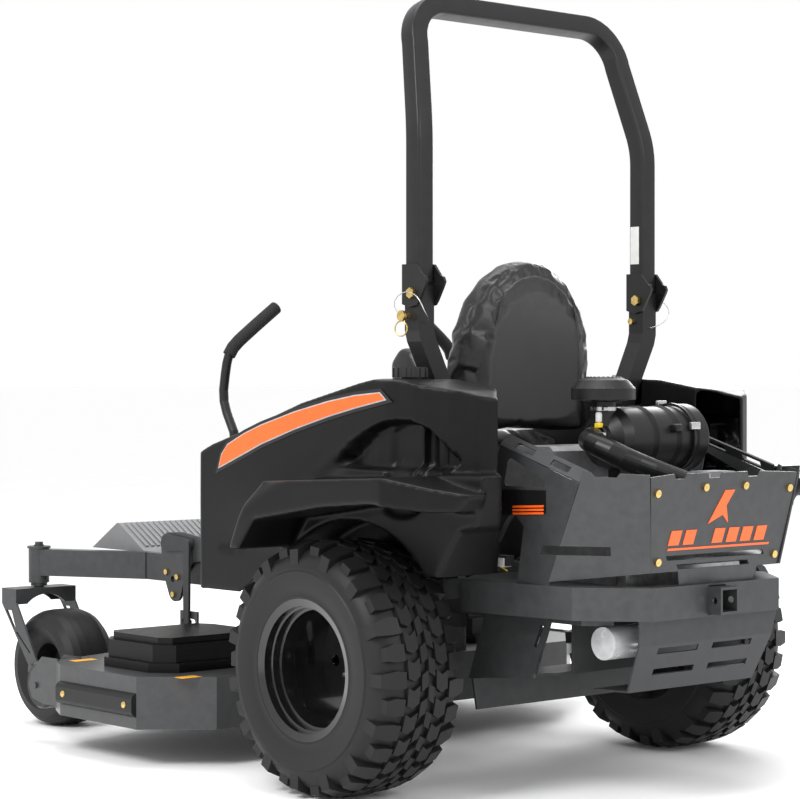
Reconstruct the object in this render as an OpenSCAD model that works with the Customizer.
// Zero turn mower with a folding roll bar, a fabricated side-discharge deck and twin caster forks.
// Drawn with X to the machine's left, Y to its rear and Z up, from the point on the ground
// under the middle of the rear axle; place() then moves it to the middle of its own footprint.

/* [Wheels] */
// Rear tyre outer diameter
rear_tyre_d = 610; // [600:1:612]
// Rear tyre section width
rear_tyre_w = 270; // [262:1:272]
// Centre plane of the machine to the middle of a rear tyre
rear_track = 583; // [583:1:588]
// Rear rim diameter over its lips
rear_rim_d = 336; // [332:1:340]
// Caster tyre outer diameter
caster_d = 330; // [320:1:334]
// Caster tyre width
caster_w = 165; // [150:1:168]

/* [Frame] */
// Centre plane to the middle of a frame rail
rail_x = 262; // [258:1:266]
// Top of the frame rails
rail_top = 495; // [492:1:498]
// Frame rail height
rail_h = 76; // [70:1:78]
// Frame rail width
rail_w = 50; // [46:1:52]
// Centre plane to a caster pivot
pivot_x = 437; // [434:1:440]
// Caster pivot ahead of the rear axle
pivot_y = 1551; // [1545:1:1555]
// Caster trail, pivot to wheel axle
trail = 132; // [125:1:135]
// Bumper rear face behind the rear axle
bumper_y = 661; // [655:1:665]

/* [Roll bar] */
// Square tube size
rops_tube = 50; // [46:1:52]
// Centre plane to the middle of an upright
rops_x = 394; // [392:1:396]
// Upright's centre line behind the rear axle
rops_y = 61; // [58:1:64]
// Top of the roll bar
rops_top = 1942; // [1900:1:1950]
// Height of the fold pivot
fold_z = 1194; // [1192:1:1196]

/* [Deck] */
// Underside of the deck at the stored cutting height
deck_z = 98; // [96:1:100]
// Deck shell height
deck_h = 134; // [130:1:136]
// Centre plane to the deck's left side
deck_left = 735; // [732:1:736]
// Centre plane to the deck's right side
deck_right = 835; // [832:1:838]
// Deck centre line, to the left of the machine's centre plane
deck_cx = -50; // [-51:1:-49]
// Distance between neighbouring spindles across the machine
spindle_gap = 508; // [506:1:508]
// Blade length
blade_len = 533; // [520:1:533]
// How far the discharge chute reaches past the deck
chute_reach = 205; // [190:1:210]

/* [Seat] */
// Seat width
seat_w = 490; // [470:2:500]
// Top of the seat back
seat_top = 1288; // [1270:1:1295]

/* [Hidden] */
$fn = 64;

steel = "#4c4c4e";
black = "#1b1b1c";
rubber = "#222222";
zinc = "#c9a64a";
bright = "#b9bbbe";

run_fit = 0.05;
axle_z = rear_tyre_d / 2;
rail_bot = rail_top - rail_h;
rail_in = rail_x - rail_w / 2;
rail_out = rail_x + rail_w / 2;
caster_z = caster_d / 2;
caster_y = -(pivot_y - trail);
barrel_bot = 398;
barrel_top = rail_top + 2;
fork_top = 385;
fork_half_depth = 38;
front_y = -(pivot_y + fork_half_depth);
rub_t = 15;
receiver_end = 700;
place_x = (deck_right + chute_reach - deck_left - rub_t) / 2;
place_y = -(front_y + receiver_end) / 2;
deck_top = deck_z + deck_h;
outer_spindle_y = -775;
centre_spindle_y = -960;
pulley_z = deck_top + 38;
blade_z = deck_z + 22;
hinge_y = 72;
pin_y = 48;
pin_z = 1140;
post_top = 1216;
lever_x = 405;
lever_y = -655;
pod_in = 350;
pod_out = 560;
front_shaft_y = -1105;
rear_shaft_y = -665;
shaft_z = 530;
lift_arm = 105;
link_x = 314;
link_h = 215;
scalp_y = -1168;
scalp_z = deck_z + 58;
scalp_d = 130;
chute_z = deck_top - 8;
chute_x = -(deck_right + 20);
lever_pivot_z = 600;
swing_z = 806;

module place() translate([place_x, place_y, 0]) children();
module both() {
  children();
  mirror([1, 0, 0]) children();
}
module box(x0, x1, y0, y1, z0, z1) translate([x0, y0, z0]) cube([x1 - x0, y1 - y0, z1 - z0]);
module bar_x(x0, x1, y, z, r) translate([x0, y, z]) rotate([0, 90, 0]) cylinder(r=r, h=x1 - x0);
// An outline drawn in Y and Z, made thick across the machine from x0 to x1
module slab_x(x0, x1) translate([x0, 0, 0]) rotate([90, 0, 90]) linear_extrude(x1 - x0) children();
// An outline drawn in X and Z, made thick along the machine from y0 to y1
module slab_y(y0, y1) translate([0, y1, 0]) rotate([90, 0, 0]) linear_extrude(y1 - y0) children();
// A profile drawn as radius and offset, spun about a cross-machine axle
module spun_x(x, y, z) translate([x, y, z]) rotate([0, 90, 0]) rotate_extrude($fn=96) children();
module hex_bolt(d, h) cylinder(d=d, h=h, $fn=6);
function flip(pts) = [for (i = [len(pts) - 1:-1:0]) [-pts[i][0], pts[i][1]]];
function arc(cx, cy, r, a0, a1, n) =
  [for (i = [0:n]) [cx + r * cos(a0 + (a1 - a0) * i / n), cy + r * sin(a0 + (a1 - a0) * i / n)]];

// ---------- welded frame ----------
rail_end = 500;
module main_frame() place() color(steel) {
  both() {
    translate([0, 0, rail_bot]) linear_extrude(rail_h)
      polygon([[rail_in, -1200], [rail_out, -1200], [rail_out, rail_end], [rail_in, rail_end + 55]]);
    // hanging side plate with its slot
    difference() {
      slab_x(rail_out - 2, rail_out + 8)
        polygon([[129, 265], [349, 286], [405, 424], [395, 440], [190, 440]]);
      slab_x(rail_out - 3, rail_out + 9) polygon([[352, 360], [362, 358], [385, 410], [375, 414]]);
    }
    // seat posts
    for (y = [-500, -150]) box(rail_x - 20, rail_x + 20, y, y + 40, rail_top - 4, 688);
    // footing of the roll bar post
    box(rail_out - 6, 345, 34, 93, 455, rail_top + 8);
    // outrigger with the steering lever pivot and the rear lift shaft's bearing
    difference() {
      slab_x(rail_out - 2, rail_out + 8) polygon([[-705, 440], [-705, 545], [-680, lever_pivot_z + 20],
        [-630, lever_pivot_z + 20], [-615, 440]]);
      bar_x(rail_out - 3, rail_out + 9, rear_shaft_y, shaft_z, 14.2);
    }
    bar_x(rail_out + 1, 425, lever_y, lever_pivot_z, 10);
  }
  for (y = [-630, -170]) box(-rail_in - 3, rail_in + 3, y, y + 50, rail_bot + 8, rail_top - 8);
  box(-rail_in - 3, rail_in + 3, 505, 548, rail_bot + 1, rail_top - 1);
  for (y = [-500, -150]) box(-rail_x, rail_x, y + 2, y + 38, 650, 686);
  // battery tray
  box(-rail_in - 3, rail_in + 3, -440, -270, rail_top - 6, rail_top - 1);
  // engine deck with the crankshaft hole, over the rails
  difference() {
    translate([0, 0, rail_top]) linear_extrude(8) polygon([[rail_out, 30], [rail_out, rail_end - 2],
      [228, 560], [-228, 560], [-rail_out, rail_end - 2], [-rail_out, 30]]);
    translate([0, 330, rail_top - 1]) cylinder(r=70, h=20);
  }
  seat_lugs();
  // belly pan between the side plates, on a cross plate
  box(-rail_in + 1, rail_in - 1, 418, 426, 298, rail_bot + 3);
  slab_x(-rail_out, rail_out) polygon([[129, 266], [145, 190], [151, 190], [136, 264], [422, 298], [422, 304],
    [129, 272]]);
}

module arm_outline() {
  translate([pivot_x, -pivot_y, rail_bot])
    rotate([0, 0, atan2(pivot_x - rail_x, pivot_y - 1225)])
      translate([-25, 0, 0]) cube([50, norm([pivot_x - rail_x, pivot_y - 1225]), rail_h]);
}
module front_frame() place() color(steel) {
  both() {
    difference() {
      union() {
        arm_outline();
        translate([pivot_x, -pivot_y, barrel_bot]) cylinder(r=30, h=barrel_top - barrel_bot);
      }
      translate([pivot_x, -pivot_y, barrel_bot - 30]) cylinder(r=15 + run_fit, h=160);
      box(0, rail_out + 30, -1225, -1100, rail_bot - 1, rail_top + 1);
    }
    // height plate that carries the front lift shaft
    difference() {
      slab_x(rail_out, rail_out + 8)
        polygon(concat([[-1142, 520], [-1138, 545], [-1112, 558], [-1040, 562], [-930, 548], [-900, 520],
          [-900, 495], [-990, 480], [-1030, 440]], arc(-1075, 398, 32, -40, -150, 8), [[-1130, 440]]));
      bar_x(rail_out - 1, rail_out + 9, front_shaft_y, shaft_z, 14.2);
      bar_x(rail_out - 1, rail_out + 9, -1086, 428, 9);
    }
  }
  box(-rail_out, rail_out, -1250, -1200, rail_bot, rail_top);
}

// Lower roll bar posts, cranked outward above the seat
module rops_posts() place() color(black) both() difference() {
  slab_y(rops_y - rops_tube / 2, rops_y + rops_tube / 2) polygon([[290, rail_top + 8], [340, rail_top + 8],
    [340, 925], [352, 962], [412, 1078], [419, 1104], [419, post_top], [369, post_top], [369, 1108],
    [362, 1084], [302, 962], [290, 925]]);
  // pivot hole and lock pin hole
  bar_x(350, 440, hinge_y, fold_z, 8 + run_fit);
  bar_x(350, 440, pin_y, pin_z, 8 + run_fit);
  // relief so that the hoop can turn
  translate([360, rops_y + rops_tube / 2 - 4, post_top - 4]) cube([70, 10, 10]);
}

module footrest() place() color("#8d8f92") {
  // toe ramp with rolled ribs
  slab_x(-284, 284) polygon([[-1502, rail_top], [-1376, 572], [-1366, 572], [-1242, rail_top + 4],
    [-650, rail_top + 4], [-650, rail_top]]);
  for (i = [-13:13])
    translate([i * 20, -1371, 570]) rotate([-29.5, 0, 0]) translate([-5, 4, 0]) cube([10, 125, 6]);
}

bumper_pts = [[377, 190], [340, 521], [224, bumper_y]];
bumper_in = [[190, bumper_y - 50], [292, 500], [327, 190]];
bumper_core = [[372, 180], [335, 519], [221, bumper_y - 5]];
bumper_core_in = [[192, bumper_y - 45], [296.5, 502], [332, 180]];
module rear_bumper() place() color(steel) {
  difference() {
    translate([0, 0, 436]) linear_extrude(76)
      polygon(concat(bumper_pts, flip(bumper_pts), flip(bumper_in), bumper_in));
    translate([0, 0, 441]) linear_extrude(66)
      polygon(concat(bumper_core, flip(bumper_core), flip(bumper_core_in), bumper_core_in));
    box(-31, 31, 600, 720, 440, 508);
  }
  both() {
    box(rail_out, 366, 190, 197, 442, 505);
    box(rail_out, rail_out + 6, 470, 540, 448, rail_top);
  }
  // hitch receiver
  difference() {
    box(-31.75, 31.75, 590, receiver_end, 442, 505.5);
    box(-25.4, 25.4, 580, receiver_end + 1, 448.35, 499.15);
    bar_x(-40, 40, 681, 473.75, 8);
  }
}

// ---------- guard panels ----------
wing_x = 344;
fold_y = 550;
module wing_panel() {
  difference() {
    slab_x(wing_x, wing_x + 4) polygon([[293, 834], [260, 708], [343, 672], [373, 645], [350, 512],
      [453, 512], [454, 521], [fold_y, 750]]);
    // rounded triangular window, and the lower slot that runs over the fold
    slab_x(wing_x - 1, wing_x + 5) polygon(concat(arc(330, 790, 12, 180, 70, 5),
      arc(432, 748, 10, 60, -90, 5), arc(318, 748, 10, -90, -180, 4)));
    slab_x(wing_x - 1, wing_x + 5) polygon([[428, 584], [500, 584], [500, 605], [434, 605]]);
  }
  // inward leaning strip along the top, with two slots
  translate([wing_x + 4, 293, 834]) rotate([-17.2, 0, 0]) rotate([0, -38, 0]) difference() {
    translate([-4, 0, 0]) cube([4, 272, 34]);
    for (y = [45, 165]) translate([-5, y, 8]) cube([8, 60, 16]);
  }
  // slanted panel round to the rear, leaning outward at the top
  translate([wing_x - 2, fold_y, 750]) rotate([0, 0, 31.4]) rotate([90, 0, -90]) translate([0, 0, -4])
    rotate([-12, 0, 0]) difference() {
      linear_extrude(4) polygon([[1, 0], [85, -234], [-154, -208], [-161, 21], [-92, 24], [-84, 14],
        [-34, 16], [-24, 28], [-8, 29]]);
      translate([-64, -170, -1]) cube([150, 22, 6]);
    }
}
module left_guard() place() color(steel) wing_panel();
module right_guard() place() color(steel) mirror([1, 0, 0]) wing_panel();

guard_lean = 8.8;
module rear_guard() place() color(steel)
  translate([0, 655, 546]) rotate([90 - guard_lean, 0, 0]) difference() {
  linear_extrude(4) polygon(concat([[221, 0], [258, 222], [180, 228], [174, 216], [140, 216], [134, 228],
    [64, 228],
    [58, 216], [20, 216], [14, 228], [-74, 228], [-80, 216], [-116, 216], [-122, 228], [-258, 222], [-221, 0],
    [-150, 0], [-140, -34], [120, -34], [130, 0]]));
  // two long slots and a generic row of slanted cuts
  for (s = [[-170, 170, 26], [-120, 130, 4]])
    translate([0, 0, -1]) linear_extrude(6) polygon([[s[0], s[2]], [s[1], s[2]], [s[1] + 8, s[2] + 12],
      [s[0] + 8, s[2] + 12]]);
  for (p = [[205, 25], [-205, 25], [232, 185], [-232, 185], [70, 195], [-70, 195]])
    translate([p[0], p[1], -1]) cylinder(r=4.2, h=6);
}

module frame_bolts() place() color(zinc) {
  translate([0, 655, 546]) rotate([90 - guard_lean, 0, 0])
    for (p = [[205, 25], [-205, 25], [232, 185], [-232, 185], [70, 195], [-70, 195]])
      translate([p[0], p[1], -6]) {
        cylinder(r=4.1, h=9.9);
        translate([0, 0, 0.1]) cylinder(r=9, h=5.8);
      }
  both() {
    // fold pivot bolt
    bar_x(352, 436, hinge_y, fold_z, 8);
    for (x = [351.5, 427.5]) translate([x, hinge_y, fold_z]) rotate([0, 90, 0]) hex_bolt(27, 9);
    // height plate bolts
    for (p = [[-1112, 447], [-1060, 436], [-1080, 386]])
      translate([rail_out + 8, p[0], p[1]]) rotate([0, 90, 0]) hex_bolt(17, 7);
  }
}

module lower_shield() place() color("#6b6b6d") difference() {
  slab_x(-242, 242) polygon([[640, 436], [636, 436], [627, 378], [578, 270], [470, 266], [470, 262],
    [582, 266],
    [631, 377]]);
  for (s = [-1, 1])
    for (t = [0, 1])
      translate([s * 95 - 70 - t * 8, 624 - t * 23, 362 - t * 50]) rotate([-24, 0, 0]) translate([0, -14, -8])
        cube([140, 28, 16]);
  for (s = [-1, 1]) translate([s * 242, 640, 436]) rotate([0, s * 8, 0])
    translate([s > 0 ? 0 : -60, -200, -240])
    cube([60, 240, 300]);
}

// ---------- engine and driveline ----------
module engine() place() {
  color("#3a3a3c") difference() {
    union() {
      box(-150, 150, 180, 480, rail_top + 8, 664);
      for (s = [-1, 1]) translate([s * 75, 440, 620]) rotate([-90, 0, -s * 20]) cylinder(r=72, h=50);
    }
    translate([0, 330, rail_top + 7]) cylinder(r=62, h=30);
  }
  // blower shroud with louvres, and the intake box behind it
  color("#b4b6b8") {
    difference() {
      slab_x(-190, 190) polygon([[150, 662], [150, 790], [175, 826], [300, 826], [312, 815], [312, 750],
        [480, 750], [480, 662]]);
      box(-178, 178, 162, 300, 700, 816);
      for (y = [182:24:278]) box(-150, 150, y, y + 12, 812, 840);
    }
    box(-150, -64, 470, 585, 700, 749);
    box(-150, -64, 520, 585, 745, 768);
  }
  // crankshaft stub down through the engine deck
  color(bright) translate([0, 330, 396]) cylinder(r=12.7, h=160);
}
module clutch_pulley() place() color(black) translate([0, 330, 400]) difference() {
  union() {
    translate([0, 0, 40]) cylinder(r=58, h=60);
    rotate_extrude()
      polygon([[0, 0], [70, 0], [70, 3], [58, 10], [58, 16], [70, 23], [70, 28], [50, 40], [0, 40]]);
  }
  translate([0, 0, -5]) cylinder(r=12.7 + run_fit, h=140);
}
module muffler() place() color("#a8aaac") {
  bar_x(-210, 210, 575, 605, 55);
  both() bar_x(209, 222, 575, 605, 30);
  box(-200, 200, 530, 558, rail_top + 8, 562);
}
module oil_filter() place() color("#c8cacc") {
  bar_x(140, 262, 545, 380, 38);
  color(black) box(110, 141, 525, 550, 352, rail_bot);
}
module air_cleaner() place() color(black) {
  translate([-182, 400, 845]) rotate([0, 90, 0]) rotate_extrude($fn=96)
    polygon([[0, 0], [78, 0], [82, 6], [82, 38], [76, 44], [76, 96], [79, 99], [76, 102], [79, 105],
      [76, 108], [79, 111], [76, 114], [76, 176], [79, 179], [76, 182], [79, 185], [76, 188], [79, 191], [76, 194], [76, 262],
      [68, 290], [40, 304], [40, 318], [0, 318]]);
  // inlet neck on top, and a saddle mount on two legs
  translate([110, 400, 873]) cylinder(r=30, h=52);
  for (x = [-100, 60]) box(x - 12, x + 12, 380, 420, 750, 772);
}
module pre_cleaner() place() color(black) translate([110, 400, 925]) {
  rotate_extrude($fn=96) polygon([[0, 0], [30, 0], [30, 8], [60, 12], [77, 14], [77, 40], [60, 60],
    [40, 68], [0, 68]]);
  for (a = [0:15:345]) rotate([0, 0, a]) rotate([90, 0, 0]) linear_extrude(3, center=true)
    polygon([[38, 66], [74, 38], [78, 40], [42, 69]]);
}

// The intake duct runs down from the canister's end to the carburettor side
hose_path = [[136.5, 400, 845], [142, 400, 845], [154, 403, 845], [168, 412, 843], [176, 430, 838],
  [176, 456, 829], [168, 482, 817], [152, 506, 803], [128, 526, 789], [98, 540, 776], [64, 549, 764],
  [26, 554, 752], [-14, 557, 741], [-50, 557, 735], [-63.6, 557, 735]];
function unit(v) = v / norm(v);
function tangent(p, i) = unit(p[min(i + 1, len(p) - 1)] - p[max(i - 1, 0)]);
// A closed round tube swept along a list of points; ref is a direction the path never runs along
module sweep(p, r, n, ref) {
  rings = [for (i = [0:len(p) - 1]) let (t = tangent(p, i), u = unit(cross(t, ref)), v = cross(t, u))
    for (k = [0:n - 1]) p[i] + r * (cos(360 * k / n) * u + sin(360 * k / n) * v)];
  last = (len(p) - 1) * n;
  sides = [for (i = [0:len(p) - 2]) for (k = [0:n - 1]) let (a = i * n + k, b = i * n + (k + 1) % n)
    each [[a, a + n, b + n], [a, b + n, b]]];
  polyhedron(rings, concat([[for (k = [0:n - 1]) k]], [[for (k = [n - 1:-1:0]) last + k]], sides));
}
module intake_hose() place() color(black) sweep(hose_path, 28, 24, [0, 0, 1]);

module hydro_transaxles() place() color("#2c2c2e") both() {
  box(rail_out + 10, 428, -95, 85, 225, 385);
  bar_x(400, 446, 0, axle_z, 48);
  translate([360, 30, 380]) cylinder(r=45, h=30);
  bar_x(446, rear_track - 62, 0, axle_z, 17.5);
  box(rail_in, rail_out + 40, -60, 60, 380, rail_bot);
}
module battery() place() color("#2a2a2a") {
  box(-98, 98, -420, -290, rail_top - 1, 665);
  for (s = [-1, 1]) translate([s * 70, -320, 664]) cylinder(r=8, h=16);
}
module wiring_harness() place() {
  color(black) {
    sweep([[330, 130, 520], [334, 180, 560], [330, 225, 580], [332, 270, 610], [336, 300, 650],
      [330, 330, 690]], 9, 10, [1, 0, 0]);
    sweep([[322, 150, 516], [318, 200, 535], [322, 240, 550], [326, 268, 560]], 6, 10, [1, 0, 0]);
  }
  color("#e8e8e8") box(314, 340, 268, 306, 548, 572);
}

// ---------- bodywork ----------

pod_front = -715;
pod_side = [[-434, 449], [-690, 449], [pod_front, 472], [pod_front, 643], [-700, 735], [-640, 788],
  [-556, 824],
  [-439, 857], [-194, 932], [20, 980], [72, 989], [154, 987], [313, 962], [512, 894], [500, 872], [468, 848],
  [452, 718], [430, 653], [380, 640], [300, 530], [-300, 530]];
pod_hollow = [[-430, 440], [-684, 455], [-707, 478], [-707, 641], [-692, 731], [-636, 780], [-553, 817],
  [-436, 850],
  [-192, 925], [21, 973], [72, 981], [153, 979], [311, 955], [488, 893], [460, 845], [445, 718], [424, 657],
  [375, 648], [296, 640], [296, 440]];
flare_side = [[-262, 577], [-198, 691], [-139, 745], [300, 765], [390, 742], [470, 728], [440, 690],
  [391, 687],
  [262, 704], [82, 690], [-159, 652], [-225, 577]];
module wheel_space(x0) bar_x(x0, 900, 0, axle_z, 346, $fn=96);
// Corner cut off the front of the pod, in plan
module nose_cut() translate([0, 0, 400]) linear_extrude(700)
  polygon([[pod_out + 1, -598], [450, pod_front - 1], [pod_out + 1, pod_front - 1]]);
// The hood above the fender turns inward towards its rear end
module hood_cut() translate([0, 0, 768]) linear_extrude(240)
  polygon([[pod_out + 1, 110], [550, 220], [520, 295], [475, 350], [430, 372], [pod_in - 1, 283],
    [pod_in - 1, 520], [740, 520], [740, 110]]);
module pod() difference() {
  union() {
    slab_x(pod_in, pod_out) polygon(pod_side);
    difference() {
      slab_x(pod_out - 5, 727) polygon(flare_side);
      translate([727, 300, 600]) rotate([0, 0, 35]) cube([200, 300, 300]);
    }
  }
  nose_cut();
  hood_cut();
  wheel_space(440);
  // hollow inside, open below
  difference() {
    slab_x(pod_in + 6, pod_out - 6) polygon(pod_hollow);
    translate([-6, -6, -6]) hood_cut();
    bar_x(pod_out - 50, pod_out + 1, 180, 775, 116);
    translate([-12, 8, 0]) nose_cut();
    bar_x(430, 900, 0, axle_z, 352);
  }
  // recess above the wheel
  bar_x(pod_out - 44, pod_out + 1, 180, 775, 110);
  // open at the rear on its inner side, so only the outer skin runs back past the guard
  translate([0, 0, 430]) linear_extrude(600)
    polygon([[pod_in - 1, 285], [548, 514], [pod_in - 1, 514]]);
  // notch for the roll bar post
  box(pod_in - 1, 372, 26, 96, 925, 1000);
  // room for the steering lever in front of the inner half
  box(pod_in - 1, 450, pod_front - 1, -560, 440, 900);
}
module left_pod() place() color(black) difference() {
  pod();
  // filler neck hole
  translate([455, 95, 940]) cylinder(r=24, h=100);
}
module right_pod() place() color(black) {
  difference() {
    mirror([1, 0, 0]) pod();
    translate([-420, -60, 900]) cylinder(r=9 + run_fit, h=120);
    translate([-480, -60, 900]) cylinder(r=9 + run_fit, h=120);
    box(-456, -444, -190, -110, 900, 1000);
  }
  // throttle lever pivot, inside
  bar_x(-465, -435, -150, 880, 5);
  box(-469, -465, -160, -140, 870, 936);
}

// ---------- seat ----------
seat_pivot_y = -514;
seat_pivot_z = 702;
module seat_plate() place() color("#303032") {
  difference() {
    union() {
      box(-225, 225, -495, -60, 688.6, 694);
      both() box(170, 190, -440, -100, 694, 706);
      both() bar_x(206, 230, seat_pivot_y, seat_pivot_z, 12);
      both() box(206, 230, seat_pivot_y, -480, 690, 700);
    }
    bar_x(-240, 240, seat_pivot_y, seat_pivot_z, 6 + run_fit);
  }
}
module seat_lugs() both() {
  box(232, 246, seat_pivot_y - 12, -478, 679, seat_pivot_z + 10);
  bar_x(205, 233, seat_pivot_y, seat_pivot_z, 6);
}
module seat_cushion() place() color(black) {
  // base pan on the slide rails, then the cushion
  box(-200, 200, -470, -70, 706.4, 722);
  slab_x(-seat_w / 2, seat_w / 2) polygon(concat([[-40, 722], [-40, 850], [-120, 846]], [[-400, 856]],
    arc(-470, 800, 54, 60, 190, 8), [[-500, 722]]));
}
module seat_back() place() color(black) {
  translate([0, -6, 0]) difference() {
    rotate([-4, 0, 0]) translate([0, -118, 0]) rotate([90, 0, 180])
      linear_extrude(118) polygon(concat([[-seat_w / 2, 852]], arc(0, seat_top - 236, 232, 180, 0, 24),
        [[seat_w / 2, 852]]));
    box(-400, 400, -400, 400, 0, 850);
  }
  // hip bolsters
  both() slab_x(228, 284) polygon(concat([[-190, 858]], arc(-150, 1040, 40, 180, 90, 6),
    arc(-100, 1030, 40, 90, 0, 6), [[-60, 858]]));
}

// ---------- roll bar ----------
hoop_lean = 90;
hoop_in = 36;
bend_z = 1600;
module hoop_side() {
  slab_y(rops_y - rops_tube / 2, rops_y + rops_tube / 2) polygon([[369, 1220], [419, 1220], [419, bend_z],
    [369, bend_z]]);
  // bracket plates welded each side of the tube
  for (x = [[361, 368.6], [419.4, 427]])
    difference() {
      slab_x(x[0], x[1]) polygon(concat([[34, 1264], [84, 1264]], arc(106, 1222, 16, 50, -40, 6),
        [[96, 1176], [88, 1166], [60, 1160], [34, 1168]]));
      bar_x(x[0] - 1, x[1] + 1, hinge_y, fold_z, 8 + run_fit);
      bar_x(x[0] - 1, x[1] + 1, 106, 1222, 6);
    }
  box(368, 420, 36, 60, 1222, 1262);
}
// Upper part of the hoop, drawn flat as a ring sector then leaned forward
module hoop_top() {
  lean = atan2(hoop_lean, rops_top - bend_z);
  rise = norm([hoop_lean, rops_top - bend_z]);
  translate([0, rops_y + rops_tube / 2, bend_z - 3]) rotate([lean, 0, 0]) rotate([90, 0, 0])
    linear_extrude(rops_tube) difference() {
      polygon(concat([[419, 0]], arc(419 - hoop_in - 130, rise - 130, 130, 0, 90, 12),
        flip(arc(419 - hoop_in - 130, rise - 130, 130, 0, 90, 12)), [[-419, 0]]));
      polygon(concat([[369, -1]], arc(419 - hoop_in - 130, rise - 130, 80, 0, 90, 12),
        flip(arc(419 - hoop_in - 130, rise - 130, 80, 0, 90, 12)), [[-369, -1]]));
    }
}
module rops_hoop() place() color(black) difference() {
  union() {
    both() hoop_side();
    hoop_top();
  }
  both() bar_x(340, 440, hinge_y, fold_z, 8 + run_fit);
}
module lock_pin() {
  bar_x(360, 436, pin_y, pin_z, 8);
  bar_x(436, 444, pin_y, pin_z, 13);
  translate([440, pin_y - 2, pin_z - 31]) rotate([0, 90, 12]) rotate_extrude()
    translate([18, 0]) circle(r=1.6);
}
module left_lock_pin() place() color(zinc) lock_pin();
module right_lock_pin() place() color(zinc) mirror([1, 0, 0]) lock_pin();
lanyard_path = [[439.5, 31, 1150], [442, 24, 1162], [443, 26, 1176], [442.5, 36, 1187], [441.5, 50, 1194],
  [440.5, 66, 1197], [440, 84, 1194], [439.5, 100, 1186], [438.5, 112, 1174], [435, 118, 1160],
  [428, 119, 1147], [416, 114, 1136], [405, 103, 1128], [398, 93, 1124], [396, 87.2, 1123]];
module pin_lanyards() place() color(bright) both() sweep(lanyard_path, 1.2, 8, [1, 0, 0]);

// ---------- steering levers ----------
module lever_base() difference() {
  union() {
    bar_x(391, 419, lever_y, lever_pivot_z, 20);
    box(399, 411, lever_y - 16, lever_y + 16, lever_pivot_z, swing_z - 20);
    box(399, 411, lever_y - 34, lever_y + 34, swing_z - 30, swing_z - 18);
    for (y = [lever_y - 34, lever_y + 22]) box(393, 417, y, y + 12, swing_z - 30, swing_z);
    for (y = [lever_y - 34, lever_y + 22])
      translate([lever_x, y, swing_z]) rotate([-90, 0, 0]) cylinder(r=12, h=12);
  }
  bar_x(380, 430, lever_y, lever_pivot_z, 10 + run_fit);
  translate([lever_x, lever_y - 40, swing_z]) rotate([-90, 0, 0]) cylinder(r=6 + run_fit, h=80);
}
module left_lever_base() place() color(steel) lever_base();
module right_lever_base() place() color(steel) mirror([1, 0, 0]) lever_base();
lever_path = [[lever_x, lever_y, 818], [lever_x, -660, 850], [lever_x, -690, 900], [lever_x, -702, 930],
  [lever_x, -704, 960], [lever_x, -697, 1000], [lever_x, -690, 1030], [401, -686, 1052], [390, -683, 1072],
  [372, -681, 1090], [350, -680, 1107], [320, -680, 1129], [290, -679, 1151], [262, -679, 1171]];
grip_path = [for (i = [7:13]) lever_path[i]];
module lever() {
  sweep(lever_path, 12.5, 16, [0, 1, 0]);
  // forked foot on its cross pin
  translate([lever_x, lever_y - 19, swing_z]) rotate([-90, 0, 0]) cylinder(r=14, h=38);
  translate([lever_x, lever_y, swing_z]) cylinder(r=12.5, h=14);
  translate([lever_x, lever_y - 38, swing_z]) rotate([-90, 0, 0]) cylinder(r=6, h=76);
}
module left_lever() place() color("#3a3a3c") lever();
module right_lever() place() color("#3a3a3c") mirror([1, 0, 0]) lever();
module lever_grip() difference() {
  sweep(concat(grip_path, [[248, -679, 1181]]), 17.5, 16, [0, 1, 0]);
  sweep(lever_path, 12.5, 16, [0, 1, 0]);
}
module left_lever_grip() place() color(black) lever_grip();
module right_lever_grip() place() color(black) mirror([1, 0, 0]) lever_grip();

// ---------- controls ----------
module ignition_key() place() color(bright) translate([-420, -60, 0]) {
  translate([0, 0, 935]) cylinder(r=9, h=42);
  translate([-11, -2, 976]) cube([22, 4, 24]);
}
module pto_knob() place() color("#c9281e") translate([-480, -60, 0]) {
  translate([0, 0, 925]) cylinder(r=9, h=56);
  translate([0, 0, 981]) cylinder(r1=15, r2=20, h=16, $fn=48);
}
module throttle_lever() place() color(black) difference() {
  union() {
    bar_x(-454, -446, -150, 880, 11);
    translate([-453, -154, 880]) cube([6, 8, 100]);
    translate([-450, -150, 984]) sphere(r=11);
  }
  bar_x(-460, -440, -150, 880, 5 + run_fit);
}
module fuel_cap() place() color(black) translate([455, 95, 0]) difference() {
  union() {
    translate([0, 0, 992]) cylinder(r=40, h=24);
    translate([0, 0, 965]) cylinder(r=23.5, h=30);
    for (a = [0:30:330]) rotate([0, 0, a]) translate([39, -4, 992]) cube([4, 8, 22]);
  }
  translate([0, 0, 960]) cylinder(r=20, h=30);
}

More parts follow.
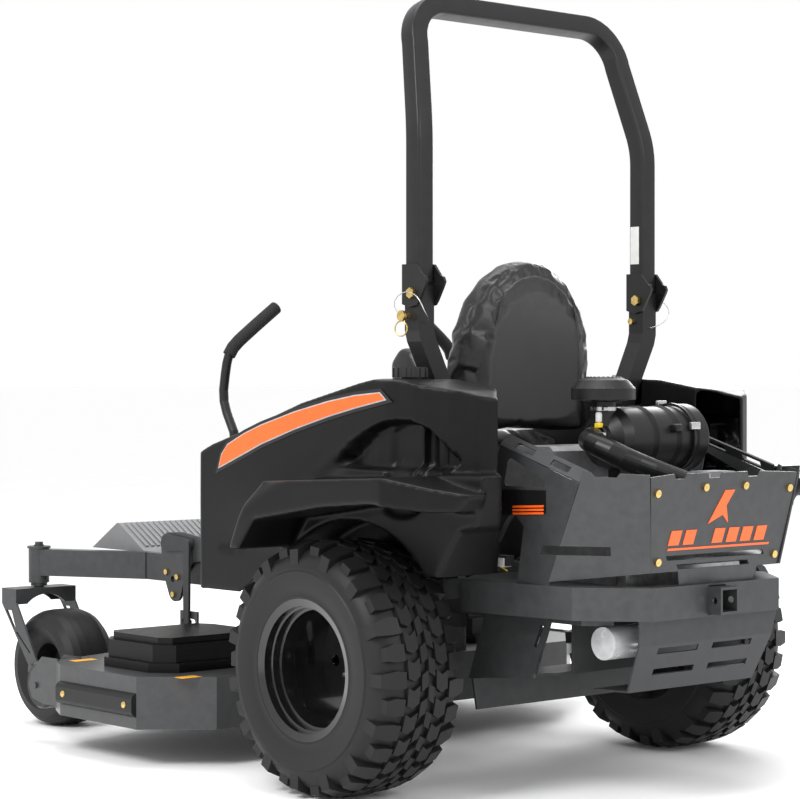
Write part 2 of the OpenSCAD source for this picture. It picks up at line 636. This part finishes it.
// ---------- deck ----------
deck_outline = [[deck_left - 153, -500], [deck_left, -635], [deck_left, -985], [deck_left - 45, -1075],
  [400, -1150], [200, -1236], [-300, -1236], [-500, -1150], [-790, -1075], [-deck_right, -985],
  [-deck_right, -635], [-682, -500]];
deck_inside = [[deck_left - 155, -505], [deck_left - 5, -637], [deck_left - 5, -983], [deck_left - 48, -1070],
  [399, -1145], [199, -1231], [-299, -1231], [-499, -1145], [-787, -1070], [-deck_right + 5, -983],
  [-deck_right + 5, -637], [-680, -505]];
spindles = [[deck_cx + spindle_gap, outer_spindle_y], [deck_cx, centre_spindle_y],
  [deck_cx - spindle_gap, outer_spindle_y]];
module deck_shell() place() color(steel) {
  difference() {
    translate([0, 0, deck_z]) linear_extrude(deck_h) polygon(deck_outline);
    translate([0, 0, deck_z - 1]) linear_extrude(deck_h - 5) polygon(deck_inside);
    for (p = spindles) translate([p[0], p[1], deck_top - 20]) cylinder(r=45, h=40);
    // discharge opening in the right side
    box(-deck_right - 5, -deck_right + 60, -1000, -660, deck_z - 1, deck_top - 30);
  }
  // hanger lugs with long pin slots
  both() for (y = [front_shaft_y, rear_shaft_y]) difference() {
    box(link_x - 17, link_x - 11, y + lift_arm - 40, y + lift_arm + 40, deck_top - 2, 345);
    slab_x(link_x - 18, link_x - 10) polygon(concat(arc(y + lift_arm + 22, shaft_z - link_h, 9, -90, 90, 6),
      arc(y + lift_arm - 22, shaft_z - link_h, 9, 90, 270, 6)));
  }
  // anti-scalp wheel brackets and their axles
  for (x = [655, -755]) {
    for (s = [-38, 33]) difference() {
      slab_x(x + s, x + s + 5) polygon([[-1060, deck_z + 12], [-1130, deck_z + 10], [-1188, deck_z + 22],
        [-1206, deck_z + 58], [-1192, deck_z + 94], [-1140, deck_top + 4], [-1060, deck_top + 4]]);
      bar_x(x + s - 1, x + s + 6, scalp_y, scalp_z, 5);
    }
    bar_x(x - 44, x + 44, scalp_y, scalp_z, 8);
  }
  // chute hinge rod on two ears
  for (y = [-1010, -660]) {
    translate([chute_x, y, chute_z]) rotate([-90, 0, 0]) cylinder(r=11, h=10);
    box(chute_x, -deck_right + 2, y, y + 10, chute_z - 11, chute_z + 8);
  }
  translate([chute_x, -1010, chute_z]) rotate([-90, 0, 0]) cylinder(r=5, h=360);
}
module belt_cover(x, y) translate([x, y, deck_top + 0.4]) difference() {
  for (t = [[0, 24, 0], [24, 70, 14], [70, 88, 30]]) translate([0, 0, t[0]]) linear_extrude(t[1] - t[0])
    polygon([[-175 + t[2], -130 + t[2]], [-120, -175 + t[2]], [150, -175 + t[2]], [205 - t[2], -110],
      [205 - t[2], 90], [150, 150 - t[2]], [-120, 150 - t[2]], [-175 + t[2], 110 - t[2]]]);
  translate([0, 0, -1]) linear_extrude(80) polygon([[-140, -98], [-112, -140], [140, -140], [170, -100],
    [170, 80], [140, 115], [-112, 115], [-140, 78]]);
  translate([-200, -150, -1]) cube([80, 240, 66]);
}
module belt_covers() place() color(black) {
  belt_cover(spindles[0][0], spindles[0][1]);
  mirror([1, 0, 0]) belt_cover(-spindles[2][0], spindles[2][1]);
}
module rub_rail() place() color(black) {
  slab_y(-984, -636) polygon([[deck_left, 128], [deck_left + rub_t - 4, 134], [deck_left + rub_t, 142],
    [deck_left + rub_t, 176], [deck_left + rub_t - 4, 184], [deck_left, 190]]);
}
module discharge_chute() place() color("#202020") difference() {
  union() {
    slab_y(-980, -680) polygon([[chute_x - 6, chute_z + 6], [chute_x - 2, chute_z + 12],
      [chute_x - 12, chute_z + 13], [-deck_right - chute_reach + 6, 150], [-deck_right - chute_reach, 148],
      [-deck_right - chute_reach, 138], [-deck_right - chute_reach + 4, 138]]);
    for (y = [-998, -680]) {
      translate([chute_x, y, chute_z]) rotate([-90, 0, 0]) cylinder(r=12, h=18);
      box(chute_x - 12, chute_x, y, y + 18, chute_z - 2, chute_z + 12);
    }
  }
  translate([chute_x, -1100, chute_z]) rotate([-90, 0, 0]) cylinder(r=5 + run_fit, h=600);
}
module spindle_housings() place() color("#5a5a5c") for (p = spindles)
  translate([p[0], p[1], 0]) difference() {
  union() {
    translate([0, 0, deck_top]) cylinder(r=70, h=8);
    translate([0, 0, deck_top - 52]) cylinder(r=40, h=76);
  }
  translate([0, 0, deck_top - 60]) cylinder(r=15 + run_fit, h=100);
}
// Spindle shaft with its pulley and blade
module spindle(i, turn) place() translate([spindles[i][0], spindles[i][1], 0]) {
  color(bright) translate([0, 0, blade_z - 14]) cylinder(r=15, h=pulley_z + 20 - blade_z);
  color(black) translate([0, 0, pulley_z - 12]) difference() {
    rotate_extrude() polygon([[0, 0], [62, 0], [62, 3], [52, 10], [52, 16], [62, 23], [62, 26], [0, 26]]);
    translate([0, 0, -1]) cylinder(r=14, h=40);
  }
  color("#7c7e80") rotate([0, 0, turn]) difference() {
    union() {
      translate([-blade_len / 2, -30, blade_z - 6]) cube([blade_len, 60, 6]);
      for (a = [0, 180]) rotate([0, 0, a])
        translate([blade_len / 2 - 110, 18, blade_z - 2]) rotate([35, 0, 0])
        cube([100, 26, 5]);
    }
    translate([0, 0, blade_z - 20]) cylinder(r=14, h=40);
  }
}
module left_spindle() spindle(0, 20);
module centre_spindle() spindle(1, -35);
module right_spindle() spindle(2, 70);
module deck_belt() place() color("#151515")
  translate([0, 0, pulley_z - 1.8]) linear_extrude(5.6) difference() {
  polygon(band_outline(61));
  polygon(band_outline(52.4));
}
// Outline round the three pulleys, tangent to each
band_a = atan2(outer_spindle_y - centre_spindle_y, spindle_gap);
function band_outline(r) = concat(
  arc(spindles[1][0], spindles[1][1], r, -90 - band_a, -90 + band_a, 10),
  arc(spindles[0][0], spindles[0][1], r, -90 + band_a, 90, 20),
  arc(spindles[2][0], spindles[2][1], r, 90, 270 - band_a, 20));
module scalp_wheels() place() color(black) for (x = [655, -755]) spun_x(x, scalp_y, scalp_z)
  polygon([[8 + run_fit, -32], [24, -32], [24, -26], [scalp_d / 2 - 6, -28], [scalp_d / 2, -20],
    [scalp_d / 2, 20],
    [scalp_d / 2 - 6, 28], [24, 26], [24, 32], [8 + run_fit, 32]]);

// ---------- deck lift ----------
// Cross shaft with an arm at each end; the arms point to the rear
module rockshaft(y) {
  bar_x(-rail_out - 14, rail_out + 14, y, shaft_z, 14);
  both() difference() {
    slab_x(rail_out + 10, rail_out + 18) polygon(concat(arc(y, shaft_z, 24, 270, 90, 8),
      arc(y + lift_arm, shaft_z, 16, 90, -90, 8)));
    bar_x(rail_out, rail_out + 30, y + lift_arm, shaft_z, 7 + run_fit);
  }
}
pedal_y = front_shaft_y - 150;
pedal_z = shaft_z + 230;
module front_rockshaft() place() color(steel) {
  rockshaft(front_shaft_y);
  // foot pedal
  slab_x(-240, -228) polygon([[front_shaft_y + 12, shaft_z + 6], [pedal_y + 6, pedal_z + 4],
    [pedal_y - 7, pedal_z - 5], [front_shaft_y - 12, shaft_z - 6]]);
  translate([-234, pedal_y, pedal_z]) rotate([-57, 0, 0]) translate([-45, -35, 0]) cube([90, 70, 8]);
}
module rear_rockshaft() place() color(steel) rockshaft(rear_shaft_y);
module lift_links() place() color("#8d8f92") both() for (y = [front_shaft_y, rear_shaft_y])
  translate([0, y + lift_arm, 0]) {
    bar_x(rail_out + 9, rail_out + 24, 0, shaft_z, 7);
    slab_x(rail_out + 18.5, rail_out + 26) polygon(concat(arc(0, shaft_z, 14, 180, 0, 8),
      arc(0, shaft_z - link_h, 12, 0, -180, 8)));
    bar_x(rail_out + 9, rail_out + 26, 0, shaft_z - link_h, 6);
  }

// ---------- wheels ----------
half_w = rear_tyre_w / 2;
tyre_r = rear_tyre_d / 2;
tyre_out = [[156, -118], [168, -123], [190, -130], [222, -half_w], [258, -half_w + 2], [288, -half_w + 16],
  [tyre_r - 6, -half_w + 38], [tyre_r, -half_w + 75]];
tyre_in = [[tyre_r - 26, -half_w + 70], [tyre_r - 32, -half_w + 40], [255, -half_w + 20], [222, -half_w + 16],
  [190, -112], [170, -104], [156, -104]];
module rear_tyre() spun_x(rear_track, 0, axle_z) polygon(concat(tyre_out,
  [for (i = [len(tyre_out) - 1:-1:0]) [tyre_out[i][0], -tyre_out[i][1]]],
  [for (i = [len(tyre_in) - 1:-1:0]) [tyre_in[i][0], -tyre_in[i][1]]], tyre_in));
module left_rear_tyre() place() color(rubber) rear_tyre();
module right_rear_tyre() place() color(rubber) mirror([1, 0, 0]) rear_tyre();
lip = rear_rim_d / 2;
module rear_rim() {
  difference() {
    spun_x(rear_track, 0, axle_z) polygon([[17.5 + run_fit, -134], [60, -134], [60, -70], [80, -66],
      [120, -66], [146, -76], [146, -118], [lip, -126], [lip, -123], [156, -118], [156, 118], [lip, 123],
      [lip, 126], [150, 120],
      [150, 100], [145, 98], [145, 78], [139, 76], [139, 40], [146, 30], [146, -60], [60, -60], [60, -58],
      [17.5 + run_fit, -58]]);
    for (a = [0:72:288]) translate([rear_track - 66, 0, axle_z]) rotate([a + 36, 0, 0])
      translate([-20, 100, 0])
      rotate([0, 90, 0]) cylinder(r=14, h=40);
  }
  for (a = [0:72:288]) translate([rear_track - 58, 0, axle_z]) rotate([a, 0, 0]) translate([0, 45, 0])
    rotate([0, 90, 0]) hex_bolt(21, 14);
}
module left_rear_rim() place() color("#141415") rear_rim();
module right_rear_rim() place() color("#141415") mirror([1, 0, 0]) rear_rim();

fork_arm = [[-(pivot_y + fork_half_depth), fork_top], [-(pivot_y - fork_half_depth + 4), fork_top],
  [-(pivot_y - fork_half_depth), fork_top - 40], [caster_y + 24, caster_z + 8],
  [caster_y + 16, caster_z - 18], [caster_y - 16, caster_z - 18], [caster_y - 26, caster_z + 4],
  [-(pivot_y + fork_half_depth), fork_top - 44]];
module fork() {
  // channel and arms
  difference() {
    box(pivot_x - 102, pivot_x + 102, -pivot_y - fork_half_depth, -pivot_y + fork_half_depth,
      fork_top - 44, fork_top);
    box(pivot_x - 96, pivot_x + 96, -pivot_y - fork_half_depth + 6,
      -pivot_y + fork_half_depth - 6, fork_top - 50,
      fork_top - 6);
    translate([pivot_x, -pivot_y - 60, fork_top - 110]) rotate([-90, 0, 0]) cylinder(r=92, h=120, $fn=96);
  }
  for (x = [pivot_x - 102, pivot_x + 96]) difference() {
    slab_x(x, x + 6) polygon(fork_arm);
    slab_x(x - 1, x + 7) polygon([[-pivot_y - 14, fork_top - 62], [-pivot_y + 14, fork_top - 62],
      [-pivot_y + 34, fork_top - 108], [-pivot_y + 24, fork_top - 110]]);
    slab_x(x - 1, x + 7) polygon([[-pivot_y + 36, fork_top - 122], [-pivot_y + 46, fork_top - 122],
      [caster_y - 18, caster_z + 44], [caster_y - 24, caster_z + 42]]);
    bar_x(x - 1, x + 7, caster_y, caster_z, 5);
  }
  // steering spindle with its cap
  translate([pivot_x, -pivot_y, fork_top - 20]) cylinder(r=15, h=barrel_top - fork_top + 30);
  translate([pivot_x, -pivot_y, barrel_bot - 9]) cylinder(r=24, h=8.6);
  translate([pivot_x, -pivot_y, barrel_top + 0.5]) cylinder(r=34, h=6);
  translate([pivot_x, -pivot_y, barrel_top + 6.5]) hex_bolt(26, 12);
  // wheel axle bolt
  bar_x(pivot_x - 106, pivot_x + 106, caster_y, caster_z, 10);
  translate([pivot_x + 102, caster_y, caster_z]) rotate([0, 90, 0]) hex_bolt(30, 12);
  translate([pivot_x - 114, caster_y, caster_z]) rotate([0, 90, 0]) hex_bolt(30, 12);
}
module left_fork() place() color(steel) fork();
module right_fork() place() color(steel) mirror([1, 0, 0]) fork();
cw = caster_w / 2;
cr = caster_d / 2;
module caster_wheel() spun_x(pivot_x, caster_y, caster_z) {
  polygon([[78, -58], [92, -70], [118, -cw], [140, -cw + 3], [155, -cw + 18], [cr - 2, -cw + 38],
    [cr, -22], [cr, 22],
    [cr - 2, cw - 38], [155, cw - 18], [140, cw - 3], [118, cw], [92, 70], [78, 58]]);
  polygon([[10 + run_fit, -90], [24, -90], [24, -16], [60, -16], [70, -50], [78, -58], [78, 58],
    [70, 50], [60, -6],
    [24, -6], [24, 90], [10 + run_fit, 90]]);
}
module left_caster_wheel() place() color(rubber) caster_wheel();
module right_caster_wheel() place() color(rubber) mirror([1, 0, 0]) caster_wheel();

main_frame();
front_frame();
rops_posts();
footrest();
rear_bumper();
left_guard();
right_guard();
rear_guard();
frame_bolts();
lower_shield();
muffler();
oil_filter();
engine();
air_cleaner();
pre_cleaner();
intake_hose();
hydro_transaxles();
battery();
wiring_harness();
left_pod();
right_pod();
seat_plate();
seat_cushion();
seat_back();
rops_hoop();
left_lock_pin();
right_lock_pin();
pin_lanyards();
left_lever_base();
left_lever();
left_lever_grip();
right_lever_base();
right_lever();
right_lever_grip();
ignition_key();
pto_knob();
throttle_lever();
fuel_cap();
deck_shell();
belt_covers();
rub_rail();
discharge_chute();
spindle_housings();
left_spindle();
centre_spindle();
right_spindle();
clutch_pulley();
deck_belt();
scalp_wheels();
front_rockshaft();
rear_rockshaft();
lift_links();
left_rear_tyre();
left_rear_rim();
right_rear_tyre();
right_rear_rim();
left_fork();
right_fork();
left_caster_wheel();
right_caster_wheel();
